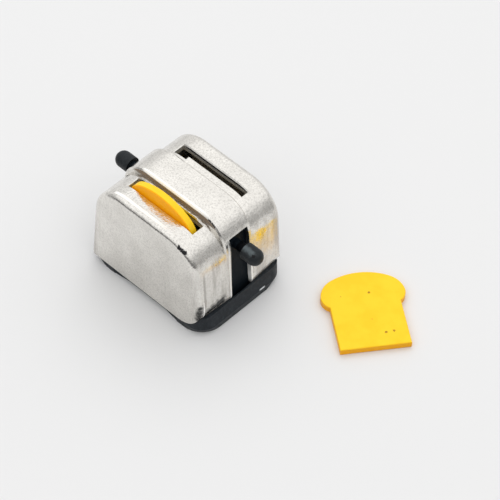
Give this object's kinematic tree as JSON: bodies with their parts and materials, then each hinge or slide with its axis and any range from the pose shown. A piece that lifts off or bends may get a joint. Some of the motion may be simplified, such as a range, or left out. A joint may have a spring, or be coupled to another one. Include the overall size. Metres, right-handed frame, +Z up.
{
  "type": "toy toaster",
  "caption": "Doll's-house toaster: plated metal casting on a black base, levers at both ends that lower the toast carriage, with lift-out slices of toast.",
  "frame": {"origin": "centre of the underside, on the surface that the toaster stands on", "axes": "+X towards the right-hand lever, +Y towards the rear, +Z up"},
  "size_m": [0.0467, 0.0271, 0.0188],
  "materials": {
    "plated_casting": "bright nickel plate over a slightly grainy casting",
    "black_moulding": "satin black plastic",
    "knob_rubber": "matte black",
    "spring_steel": "drawn wire",
    "screw_steel": "zinc plated",
    "toast_yellow": "satin yellow plastic"
  },
  "bodies": {
    "toaster": {"shell": "plated_casting", "base_tray": "black_moulding", "base_screws": "screw_steel", "return_spring": "spring_steel"},
    "carriage": {"lever_carriage": "black_moulding", "left_lever_knob": "knob_rubber", "right_lever_knob": "knob_rubber"},
    "toast_in_slot": {"slot_toast": "toast_yellow"},
    "toast_on_table": {"spare_toast": "toast_yellow"}
  },
  "joints": [
    {"name": "lever_press", "type": "slide", "parent": "toaster", "child": "carriage", "axis": [0, 0, 1], "range_m": [-0.0017, 0], "stiffness_N_per_m": 20, "springref_m": 0.0008, "deforming": ["return_spring"]},
    {"name": "slot_toast_lift", "type": "slide", "parent": "carriage", "child": "toast_in_slot", "axis": [0, 0, 1], "range_m": [0, 0.018]},
    {"name": "spare_toast_lift", "type": "slide", "parent": "toaster", "child": "toast_on_table", "axis": [0, 0, 1], "range_m": [0, 0.03]}
  ]
}
